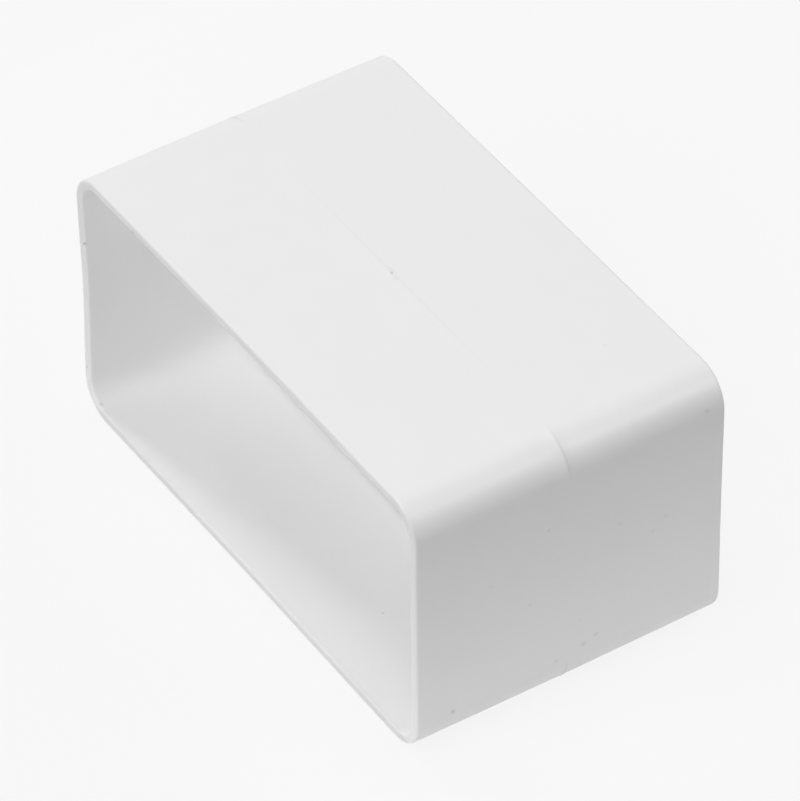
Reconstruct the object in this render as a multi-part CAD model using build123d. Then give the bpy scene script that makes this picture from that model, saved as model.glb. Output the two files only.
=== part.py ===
from build123d import *
import os
from math import radians, tan

# Flat duct connector: a short moulded sleeve that joins two lengths of flat ventilation duct end to end.
# Each duct slides into one mouth until it meets the stop that runs round the inside at mid length.
#
# Frame, in millimetres: X across the duct, Y along it, Z up. The sleeve lies on one of its wide walls.
# The origin is under the middle of the sleeve, on its lowest line.

# The flat duct that goes into each mouth, measured outside
duct_width = 110.0
duct_height = 54.0
duct_corner_radius = 5.0

# Gap between duct and socket on each side, where the socket is tightest, beside the stop
duct_clearance = 0.15

# The sleeve
sleeve_length = 66.0
mouth_wall = 2.0
draft_angle = 0.25  # degrees, on the outside and in the sockets, so that both mould halves let go

# The stop between the two sockets: as high as the duct's own wall, so that the air runs past flush
stop_height = 1.5
stop_thickness = 1.0

# Edges of the mouth: small rounds, of which the inner one leads the duct in
rim_round = 0.4
lead_in_round = 0.5
largest_share_of_wall = 0.45  # of the mouth's wall, for either round

half_length = sleeve_length / 2
socket_depth = half_length - stop_thickness / 2
draft = tan(radians(draft_angle))

# Each outline of the sleeve stands off the duct's outside by one of these
airway_offset = duct_clearance - stop_height
mouth_offset = duct_clearance + socket_depth * draft
rim_offset = mouth_offset + mouth_wall
parting_offset = rim_offset + half_length * draft

# The widest section is at mid length, where the mould parts, and the sleeve rests on it
axis_height = duct_height / 2 + parting_offset


def outline(offset):
    """The duct's outside, moved outwards by offset all round."""
    return RectangleRounded(
        duct_width + 2 * offset,
        duct_height + 2 * offset,
        duct_corner_radius + offset,
    )


def section_plane(y, facing):
    """Plane across the sleeve at y, on its axis, that faces along Y (1) or against it (-1)."""
    return Plane(origin=(0, y, axis_height), x_dir=(1, 0, 0), z_dir=(0, facing, 0))


def outside():
    """One half of the outer form: from the parting line it tapers to the mouth."""
    return extrude(section_plane(0, -1) * outline(parting_offset), half_length, taper=draft_angle)


def socket():
    """The space that takes the duct: from the mouth it tapers inwards, as far as the stop."""
    return extrude(section_plane(-half_length, 1) * outline(mouth_offset), socket_depth, taper=draft_angle)


def airway():
    """The passage inside the stop, straight through."""
    return extrude(section_plane(0, -1) * outline(airway_offset), half_length)


def round_mouth(half):
    """Rounds both edges of the mouth."""
    limit = largest_share_of_wall * mouth_wall
    rim = half.faces().sort_by(Axis.Y)[0]
    half = fillet(rim.outer_wire().edges(), min(rim_round, limit))
    rim = half.faces().sort_by(Axis.Y)[0]
    return fillet(rim.inner_wires()[0].edges(), min(lead_in_round, limit))


def connector_sleeve():
    """The whole moulding: two equal halves that meet at the parting line."""
    half = round_mouth(outside() - socket() - airway())
    return half + mirror(half, about=Plane.XZ)


os.makedirs("parts", exist_ok=True)
export_step(connector_sleeve(), "parts/connector_sleeve.step")
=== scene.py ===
from math import cos, exp, pi, radians, sin, tan

import bmesh
import bpy
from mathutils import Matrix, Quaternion, Vector, noise


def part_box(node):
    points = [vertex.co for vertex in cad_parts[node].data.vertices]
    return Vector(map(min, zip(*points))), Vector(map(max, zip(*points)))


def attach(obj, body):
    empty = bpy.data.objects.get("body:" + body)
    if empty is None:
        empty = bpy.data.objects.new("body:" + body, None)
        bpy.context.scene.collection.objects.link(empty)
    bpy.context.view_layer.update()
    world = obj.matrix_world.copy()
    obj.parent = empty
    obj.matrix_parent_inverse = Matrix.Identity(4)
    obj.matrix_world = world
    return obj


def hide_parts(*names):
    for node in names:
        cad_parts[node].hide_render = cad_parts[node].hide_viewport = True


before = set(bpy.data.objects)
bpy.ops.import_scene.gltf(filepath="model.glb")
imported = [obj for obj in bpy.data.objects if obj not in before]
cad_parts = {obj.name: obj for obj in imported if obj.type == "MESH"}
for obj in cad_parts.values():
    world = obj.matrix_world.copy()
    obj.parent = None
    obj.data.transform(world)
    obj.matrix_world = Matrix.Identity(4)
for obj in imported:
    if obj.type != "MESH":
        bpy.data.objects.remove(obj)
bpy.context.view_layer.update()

# The sleeve: one injection moulding in white plastic, which couples two lengths of flat duct. It has a stop
# inside, a little behind mid length, where the two cores of the mould meet. The section of its thin wall is
# drawn once, then carried along each flat side and turned round each corner.

MM = 0.001
low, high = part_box("connector_sleeve")
half_length = high.y

corner_radius = 7.436 * MM
mouth_wall = 2.0 * MM
draft = tan(radians(0.25))
stop_height = 1.5 * MM
half_stop = 0.5 * MM
stop_y = 0.35 * MM
rim_round = 0.5 * MM
lead_in_round = 0.5 * MM
stop_round = 0.3 * MM
mouth_round_segments = 6
stop_round_segments = 4

# The mould parts a little nearer to the front mouth than mid length, and leaves a thin raised line there
parting_y = -0.6 * MM
line_half_width = 0.24 * MM
line_height_on_flats = 0.006 * MM
line_height_on_corners = 0.08 * MM
line_unevenness = 0.5
line_wave = 6.25 * MM

# Axes of the four rounded corners
corner_x = high.x - corner_radius
corner_low = low.z + corner_radius
corner_high = high.z - corner_radius

# Rows and columns of the mesh: narrow ones beside each rounded edge keep the flats flat
row_support = 0.2 * MM
rows_per_half = 10
column_support = 0.5 * MM
columns_on_wide_wall = 21
columns_on_narrow_wall = 15
turn_steps = 14
merge_distance = 0.001 * MM

# The patch of the top wall that holds the mark of the gate, where the plastic came in
half_gate = 2.4 * MM
gate_mark_share = 0.95
gate_columns = 40
gate_rows = 18


def at_radius(radius, y):
    """Place of a point of the section, drawn at the lower end of the right-hand wall."""
    return Vector((corner_x + radius, y, corner_low))


def outside_radius(y):
    """The outside is widest at the parting line and tapers to both mouths."""
    return corner_radius - draft * abs(y - parting_y)


def socket_radius(y):
    """The sockets are widest at the mouths and taper to the stop."""
    return corner_radius - draft * half_length - mouth_wall - draft * (half_length - abs(y))


def outside_at(y):
    """A point of the section on the outside."""
    return outside_radius(y), y


def inside_at(y):
    """A point of the section in a socket."""
    return socket_radius(y), y


def split_near_ends(bm, edge, distance):
    """Adds a vertex close to each end of a long edge and returns the stretch between them."""
    first, last = edge.verts
    near_first = bmesh.utils.edge_split(edge, first, distance / edge.calc_length())[1]
    stretch = next(e for e in near_first.link_edges if e.other_vert(near_first) is last)
    near_last = bmesh.utils.edge_split(stretch, last, distance / stretch.calc_length())[1]
    return next(e for e in near_last.link_edges if e.other_vert(near_last) is near_first)


wall = bmesh.new()
stop_radius = socket_radius(half_stop) - stop_height
section_points = [
    outside_at(-half_length),
    outside_at(parting_y - half_gate),
    outside_at(parting_y - line_half_width),
    outside_at(parting_y - line_half_width / 3),
    outside_at(parting_y + line_half_width / 3),
    outside_at(parting_y + line_half_width),
    outside_at(parting_y + half_gate),
    outside_at(half_length),
    inside_at(half_length),
    inside_at(stop_y + half_stop),
    (stop_radius, stop_y + half_stop),
    (stop_radius, stop_y - half_stop),
    inside_at(stop_y - half_stop),
    inside_at(-half_length),
]
outer_rims, lead_ins, stop_edges = (0, 7), (8, 13), (9, 10, 11, 12)
drawn = [wall.verts.new(at_radius(*point)) for point in section_points]
wall.faces.new(drawn)
for numbers, radius, segments in (
    (outer_rims, rim_round, mouth_round_segments),
    (lead_ins, lead_in_round, mouth_round_segments),
    (stop_edges, stop_round, stop_round_segments),
):
    bmesh.ops.bevel(
        wall,
        geom=[drawn[n] for n in numbers],
        offset=radius,
        affect="VERTICES",
        segments=segments,
        profile=0.5,
        material=-1,
    )
bmesh.ops.delete(wall, geom=list(wall.faces), context="FACES_ONLY")
for edge in [e for e in wall.edges if e.calc_length() > half_length / 2]:
    stretch = split_near_ends(wall, edge, row_support)
    bmesh.ops.subdivide_edges(wall, edges=[stretch], cuts=rows_per_half)


def flat_steps(length, columns):
    """Widths of the columns along one flat side: even ones, with a narrow one at each end."""
    return [column_support] + [(length - 2 * column_support) / columns] * columns + [column_support]


def carry(bm, edges, step):
    """Draws the section along by one step."""
    made = bmesh.ops.extrude_edge_only(bm, edges=edges)["geom"]
    bmesh.ops.translate(bm, verts=[g for g in made if isinstance(g, bmesh.types.BMVert)], vec=step)
    return [g for g in made if isinstance(g, bmesh.types.BMEdge)]


def turn(bm, edges, x, z):
    """Turns the section round a corner's axis by a quarter."""
    made = bmesh.ops.spin(
        bm, geom=edges, cent=(x, 0, z), axis=(0, -1, 0), angle=pi / 2, steps=turn_steps, use_merge=False
    )["geom_last"]
    return [g for g in made if isinstance(g, bmesh.types.BMEdge)]


wide, narrow = 2 * corner_x, corner_high - corner_low
travelling = list(wall.edges)
for direction, length, columns, x, z in (
    (Vector((0, 0, 1)), narrow, columns_on_narrow_wall, corner_x, corner_high),
    (Vector((-1, 0, 0)), wide, columns_on_wide_wall, -corner_x, corner_high),
    (Vector((0, 0, -1)), narrow, columns_on_narrow_wall, -corner_x, corner_low),
    (Vector((1, 0, 0)), wide, columns_on_wide_wall, corner_x, corner_low),
):
    for step in flat_steps(length, columns):
        travelling = carry(wall, travelling, direction * step)
    travelling = turn(wall, travelling, x, z)
bmesh.ops.remove_doubles(wall, verts=list(wall.verts), dist=merge_distance)
bmesh.ops.recalc_face_normals(wall, faces=list(wall.faces))


def off_patch(place):
    """How far a point is from the middle of the gate's patch, across the sleeve or along it."""
    return max(abs(place.x), abs(place.y - parting_y))


def gate_faces():
    """Faces of the top wall's outside round the gate."""
    found = []
    for face in wall.faces:
        centre = face.calc_center_median()
        if centre.z > high.z - mouth_wall / 2 and off_patch(centre) < half_gate:
            found.append(face)
    return found


def edges_along(faces, axis, shortest):
    """Edges of faces that run along one axis and are no shorter than given."""
    least_share = 0.9
    found = []
    for edge in dict.fromkeys(edge for face in faces for edge in face.edges):
        span = edge.verts[1].co - edge.verts[0].co
        if abs(span[axis]) > least_share * span.length and span.length > shortest:
            found.append(edge)
    return found


bmesh.ops.subdivide_edges(
    wall, edges=edges_along(gate_faces(), 0, half_gate), cuts=gate_columns, use_grid_fill=True
)
bmesh.ops.subdivide_edges(
    wall, edges=edges_along(gate_faces(), 1, half_gate / 2), cuts=gate_rows, use_grid_fill=True
)
# The faces beside the patch have more corners now, and are divided from their middles
bmesh.ops.poke(wall, faces=[face for face in wall.faces if len(face.verts) > 4])

# The walls warped a little as they cooled: how far the middle of each is drawn in at its front and back end
bow_right = (0.0 * MM, 0.10 * MM)
bow_top = (-0.30 * MM, -0.10 * MM)
bow_left = (0.65 * MM, 0.30 * MM)
bow_bottom = (0.40 * MM, 0.25 * MM)

# The gate broke off on the parting line: a low swelling, and a torn crest that is steep at its back
gate_x, gate_y = 0.40 * MM, -0.95 * MM
gate_swelling, gate_swelling_reach = 0.06 * MM, 0.9 * MM
crest_height, crest_half_length = 0.16 * MM, 0.45 * MM
crest_front, crest_back = 0.6 * MM, 0.18 * MM
crest_turn = radians(32)


def warped(place):
    """How far a point of a wall moves with the wall's bow, which grows from the stop to the mouths."""
    mouth = 0 if place.y < 0 else 1
    growth = (place.y / half_length) ** 2
    middle_height = (low.z + high.z) / 2
    if abs(place.x) < corner_x:
        amount = growth * cos(pi / 2 * place.x / corner_x) ** 2
        return Vector((0, 0, -bow_top[mouth] if place.z > middle_height else bow_bottom[mouth])) * amount
    if corner_low < place.z < corner_high:
        amount = growth * sin(pi * (place.z - corner_low) / narrow) ** 2
        return Vector((-bow_right[mouth] if place.x > 0 else bow_left[mouth], 0, 0)) * amount
    return Vector((0, 0, 0))


def parting_lift(place, outward):
    """Height of the parting line: thin on the flats, more on the corners, and uneven along its length."""
    if abs(place.y - parting_y) > line_half_width / 2:
        return 0
    corner_share = abs(2 * outward.x * outward.z)
    height = line_height_on_flats + (line_height_on_corners - line_height_on_flats) * corner_share
    return height * (1 + line_unevenness * noise.noise(place / line_wave))


def gate_lift(place):
    """Height of the mark of the gate."""
    if place.z < corner_high or off_patch(place) > gate_mark_share * half_gate:
        return 0
    x, y = place.x - gate_x, place.y - gate_y
    along = x * cos(crest_turn) - y * sin(crest_turn)
    across = x * sin(crest_turn) + y * cos(crest_turn)
    reach = crest_front if across < 0 else crest_back
    crest = crest_height * exp(-((along / crest_half_length) ** 2) - (across / reach) ** 2)
    return crest + gate_swelling * exp(-(x * x + y * y) / gate_swelling_reach**2)


for vertex in wall.verts:
    place = vertex.co.copy()
    core_x = min(max(place.x, -corner_x), corner_x)
    core_z = min(max(place.z, corner_low), corner_high)
    from_core = place - Vector((core_x, place.y, core_z))
    if from_core.length > corner_radius - mouth_wall / 2:
        outward = from_core.normalized()
        vertex.co += outward * (parting_lift(place, outward) + gate_lift(place))
    vertex.co += warped(place)
for face in wall.faces:
    face.smooth = True

mesh = bpy.data.meshes.new("sleeve")
wall.to_mesh(mesh)
wall.free()
sleeve = bpy.data.objects.new("sleeve", mesh)
bpy.context.scene.collection.objects.link(sleeve)


class Shade:
    """A socket of a material's nodes: arithmetic on it adds Math nodes, and node() adds any other node."""

    def __init__(self, tree, socket=None):
        self.tree = tree
        self.socket = socket

    def node(self, kind, settings, sockets, output=0):
        """Adds a node, sets it up, feeds its sockets with values or links, and gives one of its outputs."""
        made = self.tree.nodes.new(kind)
        for name, value in settings.items():
            setattr(made, name, value)
        for name, value in sockets.items():
            if isinstance(value, Shade):
                self.tree.links.new(value.socket, made.inputs[name])
            else:
                made.inputs[name].default_value = value
        return Shade(self.tree, made.outputs[output] if len(made.outputs) else None)

    def other(self, output):
        """Another output of the same node."""
        return Shade(self.tree, self.socket.node.outputs[output])

    def maths(self, operation, *values):
        """Adds a Math node on values or links."""
        return self.node("ShaderNodeMath", {"operation": operation}, dict(enumerate(values)))

    def __add__(self, other):
        return self.maths("ADD", self, other)

    def __sub__(self, other):
        return self.maths("SUBTRACT", self, other)

    def __rsub__(self, other):
        return self.maths("SUBTRACT", other, self)

    def __mul__(self, other):
        return self.maths("MULTIPLY", self, other)

    __radd__ = __add__
    __rmul__ = __mul__

    def __abs__(self):
        return self.maths("ABSOLUTE", self)

    def at_least(self, other):
        """The larger of two."""
        return self.maths("MAXIMUM", self, other)

    def at_most(self, other):
        """The smaller of two."""
        return self.maths("MINIMUM", self, other)


def new_material(name):
    """An empty material and its nodes."""
    material = bpy.data.materials.new(name)
    material.use_nodes = True
    material.node_tree.nodes.clear()
    return material, Shade(material.node_tree)


def noise_at(place, size, detail):
    """Soft noise from 0 to 1 with spots of about the given size."""
    sockets = {"Vector": place, "Scale": 1 / size, "Detail": detail, "Roughness": 0.55}
    return place.node("ShaderNodeTexNoise", {"normalize": True}, sockets)


def fade(value, start, end):
    """1 up to start, 0 from end on, and smooth between them."""
    sockets = {"Value": value, "From Min": start, "From Max": end, "To Min": 1, "To Max": 0}
    return value.node("ShaderNodeMapRange", {"interpolation_type": "SMOOTHSTEP"}, sockets)


def distance_to(place, point):
    """Distance to a fixed point."""
    sockets = {0: place, 1: point}
    return place.node("ShaderNodeVectorMath", {"operation": "DISTANCE"}, sockets, output="Value")


def edge_of_marks(place, marks):
    """Distance to the edge of the nearest of some round marks: below 0 inside one."""
    nearest = None
    for *centre, radius in marks:
        edge = distance_to(place, Vector(centre) * MM) - radius * MM
        nearest = edge if nearest is None else nearest.at_most(edge)
    return nearest


def mixed(share, first, second):
    """A colour between two, nearer to the second the larger the share."""
    sockets = {0: share, 6: first, 7: second}
    return share.node("ShaderNodeMix", {"data_type": "RGBA"}, sockets, output=2)


plastic, start = new_material("white_plastic")
place = start.node("ShaderNodeTexCoord", {}, {}, output="Object")

# Specks of dirt in the plastic, scuffs from handling and painted shade at the gate, by how dark they are:
# centre and radius in mm
marks = {
    0.40: [(-55.1, -32.85, 41.3, 0.30)],
    # Painted shade on the steep back of the gate's torn crest
    0.27: [
        (0.15, -0.74, 59.0, 0.20),
        (0.38, -0.88, 59.0, 0.26),
        (0.60, -1.02, 59.0, 0.20),
    ],
    0.20: [
        (57.4, -25.3, 8.0, 0.50),
        (24.0, -18.6, 2.3, 0.26),
        (-52.65, -32.4, 2.9, 0.35),
        (-36.7, -32.95, 57.3, 0.32),
        (-56.3, -33.0, 9.9, 0.35),
    ],
    0.12: [
        (57.4, -4.9, 42.0, 0.30),
        (57.4, -8.8, 25.8, 0.28),
        (57.4, 2.8, 9.9, 0.52),
        (57.4, 5.6, 10.9, 0.42),
        (57.4, -3.1, 8.8, 0.38),
        (57.4, 10.4, 35.6, 0.24),
        (57.2, 29.1, 53.2, 0.48),
    ],
    0.06: [
        (57.4, 17.7, 30.1, 0.32),
        (57.4, 20.5, 32.3, 0.45),
        (57.4, 2.1, 16.5, 0.28),
        (57.4, -17.2, 34.6, 0.28),
        (37.7, 20.3, 58.8, 0.28),
        # The next four are painted shade round the gate: on the far side of its swelling, and on the
        # parting line beside it
        (-0.70, -0.40, 58.9, 0.55),
        (-0.20, -0.45, 58.9, 0.55),
        (1.70, -0.80, 58.9, 0.40),
        (2.20, -0.85, 58.9, 0.35),
    ],
}
ragged_size, ragged_depth = 0.5 * MM, 0.3 * MM
mark_softness = 0.18 * MM
ragged = (noise_at(place, ragged_size, 1) - 0.5) * ragged_depth
dirt_and_shade = None
for darkness, round_marks in marks.items():
    mask = fade(edge_of_marks(place, round_marks) + ragged, -mark_softness, mark_softness) * darkness
    dirt_and_shade = mask if dirt_and_shade is None else dirt_and_shade.at_least(mask)

# Finer dust lies everywhere, a speck in a few of the cells of a loose grid. Its size is a share of a cell
cell_size = 9 * MM
speck_core, speck_edge = 0.012, 0.028
clean_cells, dusty_from = 0.72, 0.78
dust_darkness = 0.08
dust_cells = {"Vector": place, "Scale": 1 / cell_size, "Randomness": 1}
to_speck = place.node("ShaderNodeTexVoronoi", {"feature": "F1"}, dust_cells, output="Distance")
cell_draw = place.node("ShaderNodeSeparateColor", {}, {"Color": to_speck.other("Color")})
dusty = 1 - fade(cell_draw, clean_cells, dusty_from)
dirt_and_shade = dirt_and_shade.at_least(fade(to_speck, speck_core, speck_edge) * dusty * dust_darkness)

# Painted shade lies along the foot of the parting line too, round the gate and most of it on the corners
gate_shade_core, gate_shade_edge, gate_shade_darkness = 8 * MM, 40 * MM, 0.06
foot_core, foot_edge, corner_darkness = 0.10 * MM, 0.45 * MM, 0.12
cloud_size = 10 * MM
clouds = noise_at(place, cloud_size, 3)
x = place.node("ShaderNodeSeparateXYZ", {}, {"Vector": place})
y, z = x.other("Y"), x.other("Z")
past_x = (abs(x) - corner_x).at_least(0)
past_z = (abs(z - high.z / 2) - narrow / 2).at_least(0)
corner_share = past_x * past_z * (2 / corner_radius**2)
to_gate = distance_to(place, Vector((gate_x, gate_y, high.z)))
gate_shade = fade(to_gate, gate_shade_core, gate_shade_edge) * clouds * gate_shade_darkness
foot = fade(abs(y - parting_y), foot_core, foot_edge)
dirt_and_shade = dirt_and_shade.at_least(foot * (gate_shade + corner_share * corner_darkness))

# The lower edges of both rims, beside the floor, are painted darker: painted shade of their contact with
# the floor
low_shade_start, low_shade_full = half_length - 1.0 * MM, half_length - 0.4 * MM
low_shade_core, low_shade_edge = 1.5 * MM, 2.7 * MM
low_shade_darkness, low_shade_clouds = 0.10, 0.08
on_rim = 1 - fade(abs(y), low_shade_start, low_shade_full)
painted_low_shade = on_rim * fade(z + ragged, low_shade_core, low_shade_edge) * (low_shade_darkness + clouds * low_shade_clouds)
dirt_and_shade = dirt_and_shade.at_least(painted_low_shade)

# The plastic itself clouds a little where it flowed, and takes a satin, slightly wavy face from the mould
white = (0.905, 0.905, 0.905, 1)
clouded_white = (0.885, 0.885, 0.885, 1)
# Both the dirt and the painted shade darken the plastic towards this grey
dirt_and_shade_grey = (0.10, 0.10, 0.10, 1)
colour = mixed(dirt_and_shade, mixed(clouds, clouded_white, white), dirt_and_shade_grey)

satin, satin_clouds, dirt_and_shade_roughness = 0.34, 0.08, 0.2
roughness = satin + clouds * satin_clouds + dirt_and_shade * dirt_and_shade_roughness

wave_size, wave_depth = 16 * MM, 0.03 * MM
grain_size, grain_depth = 0.35 * MM, 0.0015 * MM
waviness = noise_at(place, wave_size, 0) * wave_depth
grain = noise_at(place, grain_size, 0) * grain_depth
relief = place.node("ShaderNodeBump", {}, {"Height": waviness + grain, "Strength": 1, "Distance": 1})
surface = place.node(
    "ShaderNodeBsdfPrincipled",
    {},
    {"Base Color": colour, "Roughness": roughness, "Normal": relief, "IOR": 1.5},
)
place.node("ShaderNodeOutputMaterial", {}, {"Surface": surface})
mesh.materials.append(plastic)

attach(sleeve, "root")
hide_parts("connector_sleeve")

# The floor: a sheet of matt white card that the sleeve lies on. The camera sees it as an even pale ground,
# on which the sleeve's shadow stays.

sheet_half_size = 0.15
floor_mesh = bpy.data.meshes.new("floor")
sheet = bmesh.new()
bmesh.ops.create_grid(sheet, x_segments=1, y_segments=1, size=sheet_half_size)
sheet.to_mesh(floor_mesh)
sheet.free()
floor = bpy.data.objects.new("floor", floor_mesh)
bpy.context.scene.collection.objects.link(floor)

white_card, start = new_material("white_card")
card_colour = (0.9, 0.9, 0.9, 1)
card_level = 0.957
shadow_share = 0.1


def seen_directly(shade):
    """1 for rays from the camera and for those that show the surroundings in gloss or glass."""
    camera_ray = shade.node("ShaderNodeLightPath", {}, {}, output="Is Camera Ray")
    glossy_ray = camera_ray.other("Is Glossy Ray")
    return camera_ray.at_least(glossy_ray).at_least(camera_ray.other("Is Transmission Ray"))


matt = start.node("ShaderNodeBsdfDiffuse", {}, {"Color": card_colour})
even = start.node("ShaderNodeEmission", {}, {"Color": (1, 1, 1, 1), "Strength": card_level})
ground = start.node(
    "ShaderNodeMixShader", {}, {0: seen_directly(start) * (1 - shadow_share), 1: matt, 2: even}
)
start.node("ShaderNodeOutputMaterial", {}, {"Surface": ground})
# The even ground is there to be seen and lights nothing, so it isn't sampled as a lamp
white_card.cycles.emission_sampling = "NONE"
floor_mesh.materials.append(white_card)

# The light: a product table's soft lamps, each a rectangle that faces the sleeve from a metre away: a tall
# narrow one at the left, others in front, at the right, behind and overhead. The low ones are filtered, so
# that they don't glare on the walls. The room itself is dark, and pale only where it is seen.

lamp_distance = 1.0
lamp_target = Vector((0, 0, 30 * MM))

# Lamps lower than this, in degrees, are the filtered ones
glare_height = 40

# Direction round from the front and height in degrees, width and height in metres, light that arrives
lamps = {
    "left_strip": (278, 20, 0.13, 0.52, 1.08),
    "front_high": (5, 48, 0.50, 0.48, 1.17),
    "front_low": (8, 9, 0.40, 0.16, 0.18),
    "front_right": (42, 32, 0.40, 0.36, 0.25),
    "right_low": (58, 10, 0.40, 0.16, 0.46),
    "back": (178, 35, 0.76, 0.26, 0.86),
    "back_right": (131, 43, 0.32, 0.30, 0.46),
    "overhead": (270, 78, 0.50, 0.50, 0.76),
}


def away(round_from_front, height):
    """Direction away from the sleeve, from the angle round from the front and the height, in degrees."""
    around, above = radians(round_from_front), radians(height)
    return Vector((sin(around) * cos(above), -cos(around) * cos(above), sin(above)))


for name, (round_from_front, height, lamp_width, lamp_height, light) in lamps.items():
    towards_lamp = away(round_from_front, height)
    lamp_data = bpy.data.lights.new(name, "AREA")
    lamp_data.shape = "RECTANGLE"
    lamp_data.size = lamp_width
    lamp_data.size_y = lamp_height
    lamp_data.energy = light * pi * lamp_distance**2
    lamp = bpy.data.objects.new(name, lamp_data)
    lamp.location = lamp_target + towards_lamp * lamp_distance
    lamp.rotation_mode = "QUATERNION"
    lamp.rotation_quaternion = towards_lamp.to_track_quat("Z", "Y")
    lamp.visible_camera = False
    lamp.visible_glossy = height > glare_height
    bpy.context.scene.collection.objects.link(lamp)

world = bpy.data.worlds.new("studio")
world.use_nodes = True
world.node_tree.nodes.clear()
room = Shade(world.node_tree)
room_level = 0.94
pale_room = room.node(
    "ShaderNodeBackground", {}, {"Color": (1, 1, 1, 1), "Strength": seen_directly(room) * room_level}
)
room.node("ShaderNodeOutputWorld", {}, {"Surface": pale_room})
# The pale room lights nothing either
world.cycles.sampling_method = "NONE"
bpy.context.scene.world = world

# The camera: a long lens on a stand well back from the table, which looks down into the near mouth from the
# front right.

azimuth, elevation = 57.29, 42.06
roll = radians(-0.55)
distance = 1260.2 * MM
aim = Vector((1.435 * MM, 0, 28.345 * MM))
lens = 308.75
backward = away(azimuth, elevation)
camera_data = bpy.data.cameras.new("camera")
camera_data.lens = lens
camera = bpy.data.objects.new("camera", camera_data)
camera.location = aim + backward * distance
camera.rotation_mode = "QUATERNION"
camera.rotation_quaternion = backward.to_track_quat("Z", "Y") @ Quaternion((0, 0, 1), roll)
bpy.context.scene.collection.objects.link(camera)
bpy.context.scene.camera = camera

bpy.context.scene.view_settings.view_transform = "Standard"
